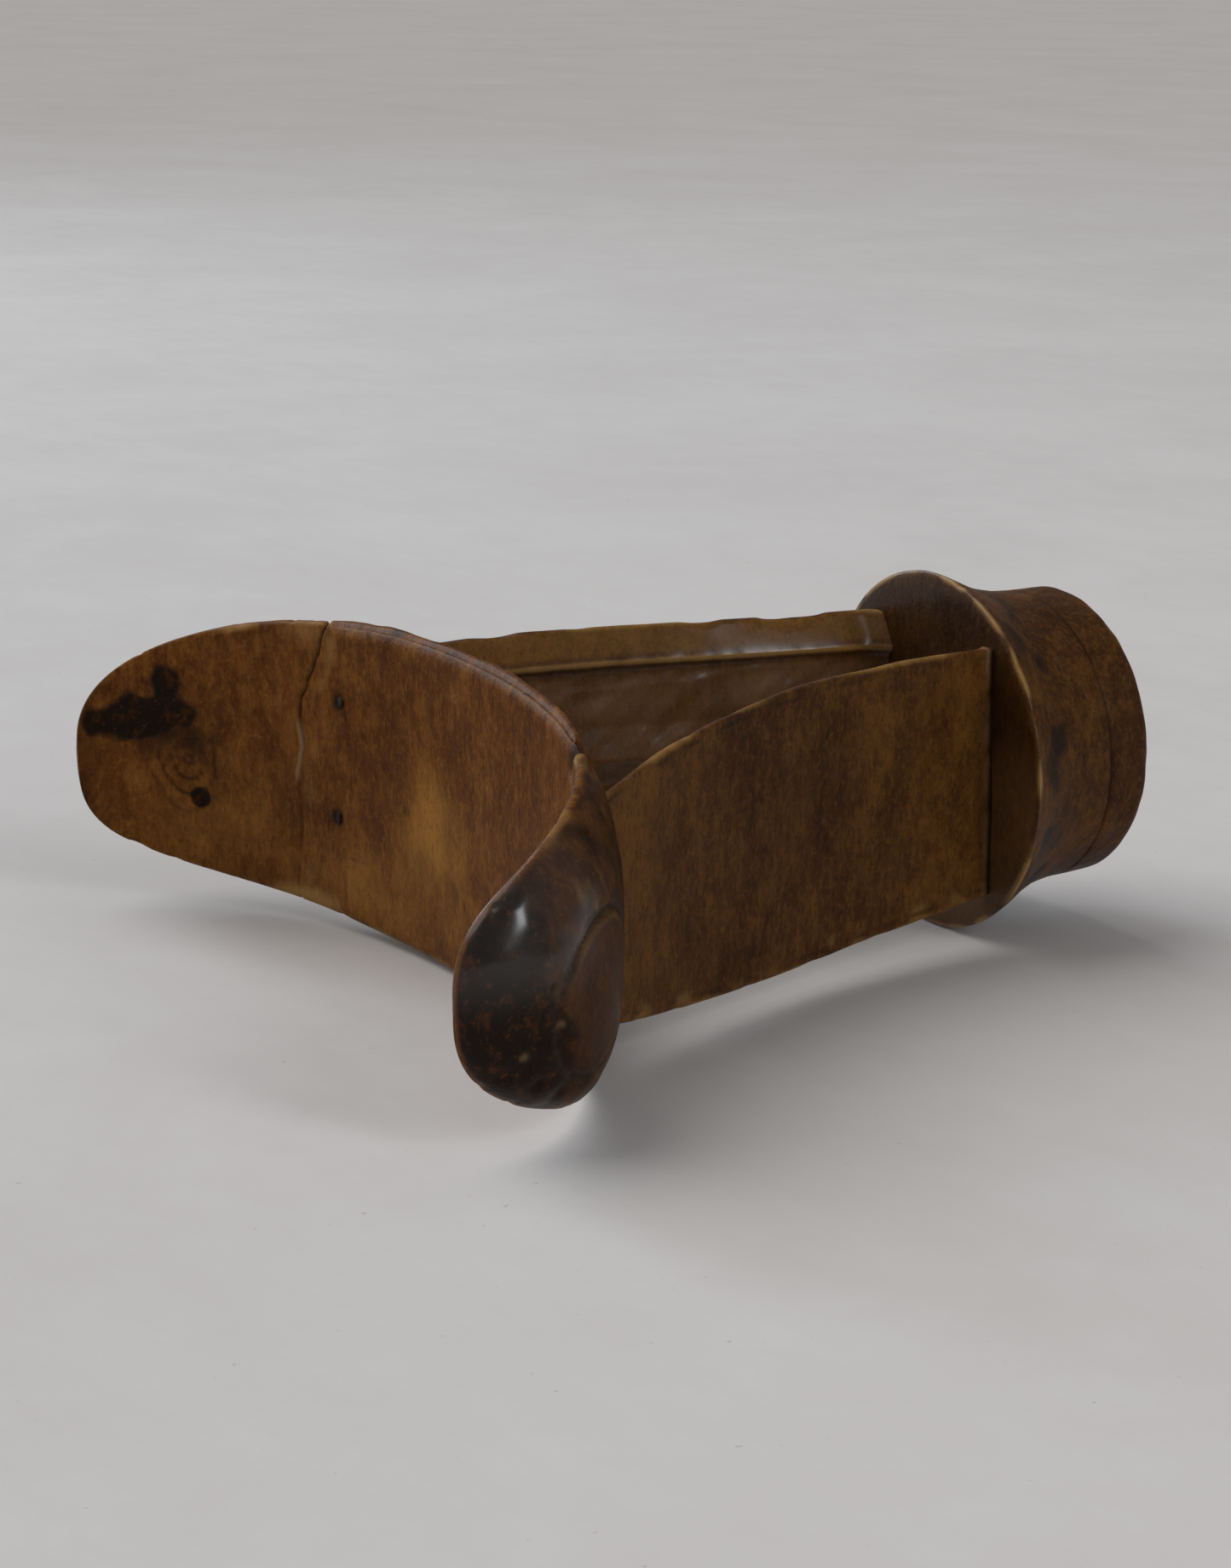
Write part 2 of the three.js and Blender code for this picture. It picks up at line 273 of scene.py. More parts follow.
# spots as (along, across, radius, depth): along is below 0 towards the far end,
# and across is below 0 towards the floor
FACE_DENTS = [
    (-87, -9.6, 1.6, 1.1), (-96, 7.5, 2.6, 0.5), (-90, 9, 2.0, 0.5), (-103, 7, 2.5, 0.4),
    (-89.7, -2.2, 3.0, 0.3), (*FAINT_SPOT, 0.35), (12, 14, 6, 0.25), (30, -12, 7, 0.3),
]
KNOB_DENTS = [
    (101, -8, 1.5, 0.7), (99, -15, 1.3, 0.6), (104, -3, 1.6, 0.5), (98, 3, 1.3, 0.6),
    (105, -12, 1.2, 0.5), (93, -19, 1.6, 0.6), (97, -24, 2.0, 0.7), (100, -2, 1.1, 0.6),
    (96, -9, 1.2, 0.5),
]
KNOB_SPECKS = [(100, -22, 0.9, 0.7), (103, -9, 0.6, 0.4), (97, -5, 0.6, 0.4)]


def saddle_outline(share):
    """One cross-section of the saddle: distance across it, depth below the hollow face."""
    tip = abs(share) ** OUTLINE_POWER
    half = SADDLE_HALF_WIDTH * (1 - tip) ** (1 / OUTLINE_ROOT)
    thick = SADDLE_MIDDLE + (SADDLE_ENDS - SADDLE_MIDDLE) * share**2
    edge = SADDLE_EDGE * (1 - share**2) + SADDLE_TIP_EDGE
    side = np.cos(np.linspace(0, math.pi, 61))
    near = tip + (1 - tip) * side**2
    bulge = thick * np.sqrt(np.maximum(0, 1 - near**UNDERSIDE_POWER))
    under = np.column_stack([side[::-1] * half, np.maximum(bulge, edge)[::-1]])
    face = np.column_stack([side * half, np.zeros_like(side)])
    lower_edge = [[-half - EDGE_BULGE * edge, edge / 2]]
    upper_edge = [[half + EDGE_BULGE * edge, edge / 2]]
    middle = len(side) // 2
    return np.vstack([face[middle:], lower_edge, under, upper_edge, face[:middle]])


class SaddleSkin:
    """Where each vertex lies on the saddle, and how strong each carved or worn feature is there."""

    def __init__(self, piece, arcs, outlines):
        across, depth = outlines[..., 0], outlines[..., 1]
        half = np.abs(across).max(1, keepdims=True) * np.ones_like(across)
        self.at = points_of(piece)
        self.arc = with_caps(arcs[:, None] * np.ones_like(across))
        self.y = with_caps(across)
        self.under = smoothstep(0.8, 2.4, with_caps(depth))
        self.face = 1 - self.under
        self.rim = np.maximum(with_caps(half) - np.abs(self.y), 0)
        self.find_crack()
        self.find_medallions()
        self.find_upper_edge()
        self.find_nail_pits()

    def find_crack(self):
        crack_arc = np.interp(self.y, *zip(*CRACK))
        crack_open = 0.35 + 0.65 * smoothstep(-6, 4, self.y)
        self.crack_off = self.arc - crack_arc + 0.35 * lumps(self.at, 2.2, 3)
        self.crack = hill(self.crack_off, 0, CRACK_WIDTH) * crack_open

    def find_medallions(self):
        sideways = (self.y - MEDALLION["across"]) / MEDALLION["half_width"]
        near = np.hypot((self.arc - MEDALLION["arc"]) / MEDALLION["half_length"], sideways)
        far = np.hypot((self.arc + MEDALLION["arc"]) / MEDALLION["half_length"], sideways)
        self.medal_radius = np.minimum(near, far)
        self.medal_groove = hill(self.medal_radius, 1.08, 0.07) * self.under
        self.medal_disc = (1 - smoothstep(0.9, 1.02, self.medal_radius)) * self.under

    def find_upper_edge(self):
        """The chipped rim, the notch, the worn band beside it and the small cuts past it."""
        at, arc, y, rim = self.at, self.arc, self.y, self.rim
        self.chips = smoothstep(0.3, 0.7, lumps(at, 3.5, 11)) * hill(rim, 0, 1.2)
        notch = hill(arc, NOTCH_ARC, 4.2) * smoothstep(22, 26, y)
        self.notch = smoothstep(0.25, 0.6, notch + 0.25 * lumps(at, 3, 5))
        self.banded = smoothstep(-58, -50, arc) * (1 - smoothstep(52, 60, arc)) * (y > 0)
        cuts = smoothstep(0.05, 0.45, lumps(at, 1.6, 12, (1, 2.5, 1))) * hill(rim, 0, 2.5) * (y > 0)
        self.cuts = cuts * smoothstep(20, 45, arc) * (1 - smoothstep(72, 90, arc))

    def find_nail_pits(self):
        pits = -dents(self.arc, self.y, [(*spot, NAIL_PIT_RADIUS, 1) for spot in NAILS.values()])
        self.nail_pits = np.clip(pits, 0, 1) * self.face


def saddle_relief(skin):
    """How far the worn surface stands out from the plain one, in millimetres."""
    at, arc, y, under = skin.at, skin.arc, skin.y, skin.under
    chamfer = skin.banded * np.clip(1 - skin.rim / 2.8, 0, 1) * skin.face
    push = 0.28 * lumps(at, 19, 1) + 0.12 * lumps(at, 7, 2)
    push += under * (0.3 * lumps(at, 10, 4) + 0.14 * lumps(at, 4, 6))
    push -= 1.2 * skin.crack * (0.55 + 0.45 * smoothstep(-0.6, 0.3, lumps(at, 6, 8)))
    push -= 0.12 * smoothstep(0, 0.6, -skin.crack_off) * hill(skin.crack_off, 0, 9)
    push += 0.1 * skin.medal_disc - 0.6 * skin.medal_groove
    push -= 0.3 * skin.chips * (1 - 0.8 * skin.banded)
    push -= 1.1 * skin.notch + 1.2 * chamfer + 0.22 * skin.cuts
    push -= 0.5 * skin.nail_pits
    return push + dents(arc, y, FACE_DENTS) * skin.face + dents(arc, y, KNOB_DENTS) * under


def lobe_stain(skin):
    """The black stain on the far lobe: a ragged blot with an arm, a fainter patch and a hole."""
    arc, y = skin.arc, skin.y
    ragged = 0.9 * lumps(skin.at, 5.5, 21) + 0.45 * lumps(skin.at, 2.4, 22)
    core = np.hypot((arc + 98) / 11, (y - 8) / 4.4)
    arm = np.hypot((arc + 93.5) / 2.6, (y - 13) / 5)
    patch = np.hypot((arc + 88) / 6, (y - 2) / 6)
    hole = np.hypot((arc + 87) / 2.2, (y + 9.6) / 2.4)
    blot = smoothstep(-0.35, 0.6, np.maximum(1.15 - core, 0.9 * (1.1 - arm)) + 0.5 * ragged)
    blot = np.maximum(blot, 0.6 * smoothstep(-0.4, 0.9, 1 - patch + 0.7 * ragged))
    blot = np.maximum(blot, smoothstep(0, 0.5, 1.2 - hole + 0.3 * ragged))
    return blot * skin.face


def lobe_marks(skin):
    """Smoke around the stain, rings of a knot below it, one faint spot, and painted shade darkening
    the far tip.
    """
    at, arc, y = skin.at, skin.arc, skin.y
    smoke = 0.42 * np.exp(-(((arc + 95) / 14) ** 2) - ((y - 6) / 9) ** 2)
    smoke = smoke * (1 + 0.8 * lumps(at, 6, 39))
    knot_radius = np.hypot(arc + 89, (y + 1.5) / 1.25) + 1.3 * lumps(at, 9, 25)
    knot = smoothstep(0.2, 0.9, np.sin(knot_radius * 2.4)) * (1 - smoothstep(5, 13, knot_radius))
    faint_spot = -dents(arc, y, [(*FAINT_SPOT, 0.5)])
    # painted shade: the far lobe's tip is darkened where it curves away from the light
    tip = 0.4 * smoothstep(100, 111, -arc + 2.5 * lumps(at, 5, 24))
    return np.maximum(np.maximum.reduce([smoke, 0.55 * knot, faint_spot]) * skin.face, tip)


def knob_black(skin):
    """The blackened near end, with a ragged edge, and the dark underside behind it."""
    at, arc, under = skin.at, skin.arc, skin.under
    edge = arc - 0.22 * (skin.y + 6) + 3 * lumps(at, 8, 23) + 2 * lumps(at, 3, 26)
    knob = smoothstep(85, 102, edge) * (0.3 + 0.7 * under)
    knob = knob * (1 - 0.3 * smoothstep(0.1, 0.6, lumps(at, 2.5, 27)))
    streaked = 0.26 * lumps(at, 4, 28, (1, 1, 1.5)) * (1 - skin.medal_disc)
    underside = (0.56 + streaked - 0.02 * skin.medal_disc) * under * smoothstep(40, 70, arc)
    return np.maximum(knob, underside)


def saddle_dark(skin):
    """Black and darkened places, and the painted shade at the far lobe's tip."""
    at, arc, y, under, rim = skin.at, skin.arc, skin.y, skin.under, skin.rim
    scratch = 0.4 * hill(y + 17.5 + 0.1 * (arc + 48), 0, 0.3) * hill(arc, -47, 5)
    smear = 0.3 * hill(arc, -50, 5) * (1 - smoothstep(-8, 4, y))
    smear = smear * smoothstep(0, 0.5, lumps(at, 1.5, 43, (1, 8, 1)))
    ridge_spots = hill(rim, 2, 4) * hill(arc, 68, 12) * (y > 0)
    ridge_spots = ridge_spots * smoothstep(0.1, 0.4, lumps(at, 2, 29, (1, 1.6, 1)))
    band_spots = skin.banded * hill(rim, 0, 2)
    band_spots = band_spots * smoothstep(0.15, 0.5, lumps(at, 2.4, 36, (1.5, 1, 1.5)))
    return np.maximum.reduce([
        lobe_stain(skin), lobe_marks(skin), knob_black(skin), (scratch + smear) * skin.face,
        0.75 * skin.crack, 0.9 * skin.nail_pits, 0.75 * skin.medal_groove, 0.65 * skin.notch,
        0.5 * skin.cuts, 0.7 * ridge_spots, 0.55 * band_spots, 0.3 * under * hill(rim, 3, 2.5),
    ])


def saddle_wear_and_highlight(skin):
    """Places rubbed down to ochre wood, and a painted highlight on the upper side of the medallion's
    rim.
    """
    at, arc, y, under, rim = skin.at, skin.arc, skin.y, skin.under, skin.rim
    beside_crack = hill(skin.crack_off, 3.5, 3.5) * smoothstep(-0.5, 0.5, lumps(at, 6, 34)) * skin.face
    lower_rim = hill(arc, -62, 11) * hill(y, -28.5, 3.2)
    rubbed = hill(rim, 0.5, 1.1) * smoothstep(-0.5, 0.5, lumps(at, 8, 31, (1, 2, 1)))
    rubbed = rubbed * (1 - smoothstep(88, 102, np.abs(arc))) * (1 - 0.7 * skin.banded)
    band = skin.banded * smoothstep(3.4, 2.4, rim) * skin.face
    band = band * smoothstep(-0.6, 0.2, lumps(at, 5, 37))
    # painted highlight: ochre on the medallion's rim, on its upper side only, where the light falls
    medal_rim = hill(skin.medal_radius, 0.96, 0.06) * under * smoothstep(-12, 6, y)
    shoulder = hill(arc, 78, 12) * hill(y, 24, 6) * smoothstep(-0.2, 0.5, lumps(at, 5, 35))
    worn_top = hill(arc, -60, 9) * hill(y, 28, 5) * skin.face
    streaks = hill(arc, 87, 7) * hill(y, 7, 13) * under * (1 - skin.medal_disc)
    streaks = streaks * smoothstep(0, 0.4, lumps(at, 2.2, 40, (1, 4, 2)))
    return np.maximum.reduce([
        0.6 * rubbed, 0.9 * lower_rim, 0.3 * band, 0.65 * medal_rim, 0.3 * skin.chips, streaks,
        0.4 * beside_crack, 0.5 * shoulder, 0.45 * worn_top,
    ])


def saddle_gold(skin):
    """Where the hollow face is rubbed golden: below its middle, and towards the far lobe."""
    arc, y = skin.arc, skin.y
    gold = 1.05 * hill(arc, -18, 13) * hill(y, -6, 12) + 0.6 * hill(arc, -82, 18) * hill(y, -14, 12)
    gold = gold + 0.75 * hill(arc, -46, 12) * hill(y, -22, 9)
    gold = gold + 0.35 * hill(arc, -18, 20) * hill(y, -26, 8)
    return gold * skin.face * (1 + 0.4 * lumps(skin.at, 6, 38, (1, 1, 2)))


def saddle_pale(skin):
    """The pale filler in the crack, and the light specks on the near end."""
    y = skin.y
    filler = hill(skin.crack_off, -0.5, 0.5) * smoothstep(-5, -2, y) * smoothstep(10, 7, y) * skin.face
    return np.maximum(filler, -dents(skin.arc, y, KNOB_SPECKS) * skin.under)


def saddle_gloss(skin):
    """The near end is polished by handling, most of all on its upper half."""
    gloss = smoothstep(83, 93, skin.arc) * (0.06 + 0.94 * smoothstep(-4, 8, skin.y))
    return gloss * (0.5 + 0.5 * skin.under) * (1 - 0.7 * skin.medal_disc)


def build_saddle():
    broad = SADDLE_HALF_ARC * np.cos(np.linspace(0.025, math.pi - 0.025, SADDLE_RINGS))
    broad = broad[(broad < CRACK_START) | (broad > CRACK_END)]
    arcs = np.sort(np.concatenate([broad, np.arange(CRACK_START, CRACK_END, CRACK_STEP)]))
    shares = arcs / SADDLE_HALF_ARC
    outlines = np.array([even_ring(saddle_outline(share), SADDLE_SIDES, 4) for share in shares])
    x, z, out_x, out_z = (v[:, None] for v in saddle_spine(arcs))
    across, depth = outlines[..., 0], outlines[..., 1]
    sagged = across - SADDLE_SAG * shares[:, None] ** 2
    rings = np.stack([x + out_x * depth, sagged, z + out_z * depth], axis=-1)
    piece = solid_from_rings("saddle", rings)
    skin = SaddleSkin(piece, arcs, outlines)
    push_out(piece, saddle_relief(skin))
    mark(piece, "dark", saddle_dark(skin))
    mark(piece, "wear_and_highlight", saddle_wear_and_highlight(skin))
    mark(piece, "gold", saddle_gold(skin))
    mark(piece, "pale", saddle_pale(skin))
    mark(piece, "gloss", saddle_gloss(skin))
    return lay_down(
        piece, "saddle_wood", "head_rest", "far_lobe", "near_medallion", "far_medallion"
    )


# ---- The panels ----

PANEL_SIDES = 240
ROOT_FILLET = 2.6
ROOT_FILLET_HEIGHT = 7
# the panels start inside the flange and end inside the saddle, under its hollow face
ROOT_BURIED = 1
HEAD_BELOW_FACE = 1.5
# turns points so that noise stretched along Z runs aslant over a panel
SLANT = np.array([(1, 0, 0), (0, 0.8, -0.6), (0, 0.6, 0.8)])


def panel_outline(z):
    """One cross-section of a panel: distance from the axis, and distance across."""
    face = float(panel_face(z))
    top = float(panel_half(PANEL_UPPER, z))
    bottom = float(panel_half(PANEL_LOWER, z))
    fillet = ROOT_FILLET * max(0, 1 - max(z, 0) / ROOT_FILLET_HEIGHT) ** 3
    upper = [(face - thick - fillet, top - inset) for inset, thick in PANEL_INNER]
    lower = [(face - thick - fillet, inset - bottom) for inset, thick in PANEL_INNER][::-1]
    outer = [(face, -bottom), (face, 0), (face, top)]
    ridge = [(face - PANEL_RIDGE - fillet, 0)]
    return np.array(outer + upper + ridge + lower)


class PanelSkin:
    """Where each vertex lies on a panel, and how strong each carved or worn feature is there."""

    def __init__(self, piece, seed, heights, outlines):
        out, across = outlines[..., 0], outlines[..., 1]
        self.seed = seed
        self.at = points_of(piece)
        self.slanted = self.at @ SLANT
        self.z = with_caps(heights[:, None] * np.ones_like(out))
        self.y = with_caps(across)
        self.top = panel_half(PANEL_UPPER, self.z) - self.y
        self.bottom = panel_half(PANEL_LOWER, self.z) + self.y
        self.edge = np.minimum(self.top, self.bottom)
        self.rim = np.maximum(self.edge, 0)
        self.inner = smoothstep(0.8, 1.9, panel_face(self.z) - with_caps(out))
        self.outer = 1 - self.inner
        self.bevel = self.inner * (1 - smoothstep(4.5, 7, self.edge))
        self.slope = self.inner * smoothstep(7.5, 11, self.edge)
        self.lip = hill(self.edge, PANEL_INNER[1][0], 0.8) * self.inner
        self.chips = smoothstep(0.2, 0.7, self.rough(4, 1, (1, 1, 1.8))) * hill(self.rim, 0, 1.2)
        gouge = hill(self.top, 8.5 + 0.065 * self.z + 0.9 * self.rough(12, 9), 0.8) * self.inner
        self.gouge = gouge * smoothstep(12, 25, self.z) * smoothstep(-0.6, 0.1, self.rough(9, 10))

    def rough(self, size, layer, stretch=(1, 1, 1)):
        return lumps(self.at, size, self.seed + layer, stretch)


def panel_relief(skin, side):
    """How far the worn surface stands out from the plain one, in millimetres."""
    worn_top = (side < 0) * hill(skin.top, 0, 1.5) * smoothstep(0.1, 0.6, skin.rough(11, 11))
    chatter = (1 - skin.bevel) * skin.rough(4, 2, (1, 1.5, 0.9))
    push = 0.3 * skin.rough(22, 3) + 0.1 * skin.rough(7, 4)
    push += 0.75 * skin.slope * lumps(skin.slanted, 3, skin.seed + 12, (1, 1, 5))
    push += skin.inner * (0.3 * skin.rough(10, 5, (1, 0.8, 2)) + 0.2 * chatter)
    return push + 0.25 * skin.gouge - 0.25 * skin.chips - 0.5 * worn_top


def panel_dark(skin, head_z):
    """Painted shade under the lip, where the panel meets the flange and below the saddle; a dark line
    along the outer edges, and a darker middle on the outer side.
    """
    # painted shade in the recess under the lip's ridge
    recess = skin.inner * hill(skin.edge, PANEL_INNER[2][0], 1.6)
    # painted shade in the crease where the panel meets the flange
    root = 1 - smoothstep(0.2, 1.4, skin.z + 0.5 * skin.rough(5, 7))
    # painted shade where the panel runs in under the saddle
    head = smoothstep(head_z - 9, head_z - 2, skin.z + skin.rough(5, 8))
    outline = hill(skin.rim, 1.6, 0.7) * skin.outer * smoothstep(-0.3, 0.4, skin.rough(5, 13))
    # a darker middle on the outer side
    darker_middle = hill(skin.z, PANEL_WAIST, 26) * hill(skin.y, 4, 17) * skin.outer
    return np.maximum.reduce([
        0.2 * recess, (0.7 - 0.55 * skin.inner) * root, 0.5 * head, 0.5 * outline, 0.28 * darker_middle,
    ])


def panel_wear_and_highlight(skin):
    """Edges rubbed down to ochre wood, and the lip's ridge painted ochre, partly as wear and partly as
    a painted highlight.
    """
    rubbed = hill(skin.rim, 0, 0.9) * smoothstep(-0.6, 0.3, skin.rough(8, 6, (1, 1, 2)))
    lower_edge = hill(skin.bottom, 1.5, 4) * smoothstep(-0.6, 0.6, skin.rough(5, 15)) * skin.outer
    return np.maximum.reduce([
        # the lip's ochre line is wear together with a painted highlight along the ridge
        0.5 * rubbed, 0.75 * skin.lip, 0.3 * skin.chips, 0.42 * lower_edge, 0.3 * skin.bevel,
    ])


def panel_gold(skin):
    """A painted sheen lightening the whole inner side, lighter wood on its bevel, and at the outer
    side's ends.
    """
    ends = skin.outer * (1 - hill(skin.z, PANEL_WAIST, 34))
    # painted sheen: the 0.3 over the whole inner side
    return np.maximum.reduce([0.3 * skin.inner, 0.85 * skin.bevel, 0.5 * ends])


def panel_pale(skin):
    """Scraped tool marks on the hollowed side, made paler as a painted sheen, and dust where the panel
    meets the flange.
    """
    # painted sheen on the hollowed slope, along its scraped tool marks
    scrapes_and_sheen = 0.23 * skin.slope * (1 + lumps(skin.slanted, 5, skin.seed + 14, (1, 1, 4)))
    dust = 0.35 * skin.bevel * hill(skin.z, 0.5, 3) + 0.3 * skin.outer * hill(skin.z, 1.2, 0.7)
    return np.maximum(scrapes_and_sheen, dust * smoothstep(-0.5, 0.3, skin.rough(4, 16)))


def panel_gloss(skin):
    """The hollowed side is polished, and its bevel is duller."""
    shiny = np.maximum.reduce([0.75 - 0.63 * skin.bevel, 0.63 * skin.lip, 0.8 * skin.gouge])
    return skin.inner * shiny


def build_panel(name, side, seed):
    """A panel on one side of the axis, from inside the flange to inside the saddle."""
    head_z = float(saddle_spine(np.array([side * PANEL_ARC]))[1][0])
    heights = np.concatenate([
        np.arange(-ROOT_BURIED, 3, 0.3), np.linspace(3.2, head_z - HEAD_BELOW_FACE, 150),
    ])
    outlines = np.array([even_ring(panel_outline(z), PANEL_SIDES, 1) for z in heights])
    out, across = outlines[..., 0], outlines[..., 1]
    rings = np.stack([side * out, across, heights[:, None] * np.ones_like(out)], axis=-1)
    piece = solid_from_rings(name, rings)
    skin = PanelSkin(piece, seed, heights, outlines)
    push_out(piece, panel_relief(skin, side))
    mark(piece, "dark", panel_dark(skin, head_z))
    mark(piece, "wear_and_highlight", panel_wear_and_highlight(skin))
    mark(piece, "gold", panel_gold(skin))
    mark(piece, "pale", panel_pale(skin))
    mark(piece, "gloss", panel_gloss(skin))
    return lay_down(piece, "stem_wood", name.replace("_carved", ""))


# ---- The round base ----

BASE_SIDES = 288
FLANGE_FLAT = 33
GROOVE_Z = -23.5
SECOND_GROOVE_Z = -12.2
# the whole skin is drawn in by this much, so that its lumps stay within the frame's solid
BASE_DRAWN_IN = 0.15


def base_profile():
    """Radius and height, from the middle of the flange's face round to the middle of the sole."""
    top_edge = np.array([
        (0.5, 0), (6, 0), (12, 0), (18, 0), (24, 0), (30, 0), (FLANGE_FLAT, -0.05),
        (FLANGE_RADIUS - 1.6, -0.1), (FLANGE_RADIUS - 0.5, -0.35),
    ])
    side_z = -np.concatenate([np.arange(RIM_ROUND, 3, 0.3), np.arange(3, 31.4, 0.3)])
    side = np.column_stack([base_radius(side_z), side_z])
    turns = np.radians(np.linspace(0, 90, 9))
    foot = np.column_stack([
        FOOT_RADIUS - FOOT_ROUND * (1 - np.cos(turns)),
        -BASE_HEIGHT + FOOT_ROUND * (1 - np.sin(turns)),
    ])
    sole = np.array([(radius, -BASE_HEIGHT) for radius in (24, 16, 8, 0.5)])
    return np.vstack([top_edge, side, foot, sole])


def build_base():
    """The flange and the drum behind it, turned as one."""
    profile = base_profile()
    around = np.linspace(0, 2 * math.pi, BASE_SIDES, endpoint=False)
    radius, height = profile[:, :1], profile[:, 1:]
    rings = np.stack([
        radius * np.cos(around), radius * np.sin(around), height * np.ones_like(around),
    ], axis=-1)
    piece = solid_from_rings("turned_base", rings)

    z = with_caps(height * np.ones_like(around))
    r = with_caps(radius * np.ones_like(around))
    at = points_of(piece)
    outer = smoothstep(26, 29, r)
    drum = smoothstep(-6, -9, z) * outer
    wander = 0.5 * lumps(at, 30, 41)
    groove = hill(z, GROOVE_Z + wander, 0.36) * drum
    groove = groove * (0.6 + 0.4 * smoothstep(-0.4, 0.2, lumps(at, 12, 40)))
    second = hill(z, SECOND_GROOVE_Z - wander, 0.5) * drum * smoothstep(0, 0.4, lumps(at, 14, 42))
    rim = np.hypot(r - FLANGE_RADIUS, z + 0.6)
    chips = smoothstep(0.2, 0.6, lumps(at, 5, 43)) * hill(rim, 0, 1.5)
    push = 0.22 * lumps(at, 18, 44) + 0.1 * lumps(at, 6, 45)
    push += 0.12 * drum * lumps(at, 3.5, 46, (1, 1, 2.5))
    push -= 0.4 * groove + 0.08 * second + 0.4 * chips
    push_out(piece, push - BASE_DRAWN_IN)

    rubbed = hill(rim, 0, 1.3) * smoothstep(-0.4, 0.3, lumps(at, 7, 47))
    rim_line = hill(np.hypot(r - FLANGE_RADIUS, z + 0.4), 0, 0.8)
    foot_rim = hill(np.hypot(r - FOOT_RADIUS, z + BASE_HEIGHT), 0, 2.2)
    foot_rim = foot_rim * smoothstep(-0.3, 0.4, lumps(at, 7, 48))
    behind_rim = hill(z, -7.5, 5) * smoothstep(-0.15, 0.35, lumps(at, 6, 49)) * outer
    flange_face = smoothstep(-0.5, -0.05, z) * (1 - hill(r, FLANGE_RADIUS, 1.2))
    # painted shade and painted light: the flange's face is painted darker on its upper part, where the
    # sky lights it, and paler on its lower part, where it is in shade
    upper = smoothstep(-8, 14, at[:, 1])
    shaded = (0.12 + 0.33 * upper) * flange_face
    mark(piece, "dark", np.maximum.reduce([0.65 * groove, 0.2 * second, 0.7 * behind_rim, shaded]))
    mark(piece, "wear_and_highlight", np.maximum(0.85 * rubbed, 0.5 * foot_rim))
    mark(piece, "gold", 0.1 * drum)
    # painted light: the paler lower part of the flange's face
    mark(piece, "pale", 0.24 * (1 - upper) * flange_face)
    mark(piece, "gloss", np.maximum(0.2 * flange_face, 0.7 * rim_line))
    return lay_down(piece, "stem_wood", "flange_disc", "base_drum")


# ---- The nails ----


def build_nail(name, arc, across):
    """A domed, hammered head and a tapering shank, slanting into the far panel."""
    x, z = (float(v[0]) for v in saddle_spine(np.array([arc]))[:2])
    end_z = z - NAIL_LENGTH
    end_x = -float(panel_face(end_z)) + PANEL_INNER[-1][1] / 2
    into = np.array([end_x - x, end_z - z]) / math.hypot(end_x - x, end_z - z)
    profile = [
        (0.25, -0.12), (0.7, -0.05), (1.1, 0.1), (NAIL_HEAD_RADIUS, 0.35), (NAIL_HEAD_RADIUS, 0.7),
        (1.0, 0.95), (0.8, 1.1), (0.78, 4), (0.7, 8), (0.45, NAIL_LENGTH - 1), (0.2, NAIL_LENGTH),
    ]
    around = np.linspace(0, 2 * math.pi, NAIL_SIDES, endpoint=False)
    uneven = 1 + 0.08 * np.cos(3 * around + arc) + 0.05 * np.cos(5 * around)
    middle = across - SADDLE_SAG * (arc / SADDLE_HALF_ARC) ** 2
    rings = []
    for radius, depth in profile:
        sideways = radius * uneven * np.cos(around)
        rings.append(np.column_stack([
            x + into[0] * (depth + NAIL_SUNK) - into[1] * sideways,
            middle + radius * uneven * np.sin(around),
            z + into[1] * (depth + NAIL_SUNK) + into[0] * sideways,
        ]))
    piece = solid_from_rings(f"{name}_hammered", np.array(rings))
    return lay_down(piece, "iron", name)


# ---- Materials ----


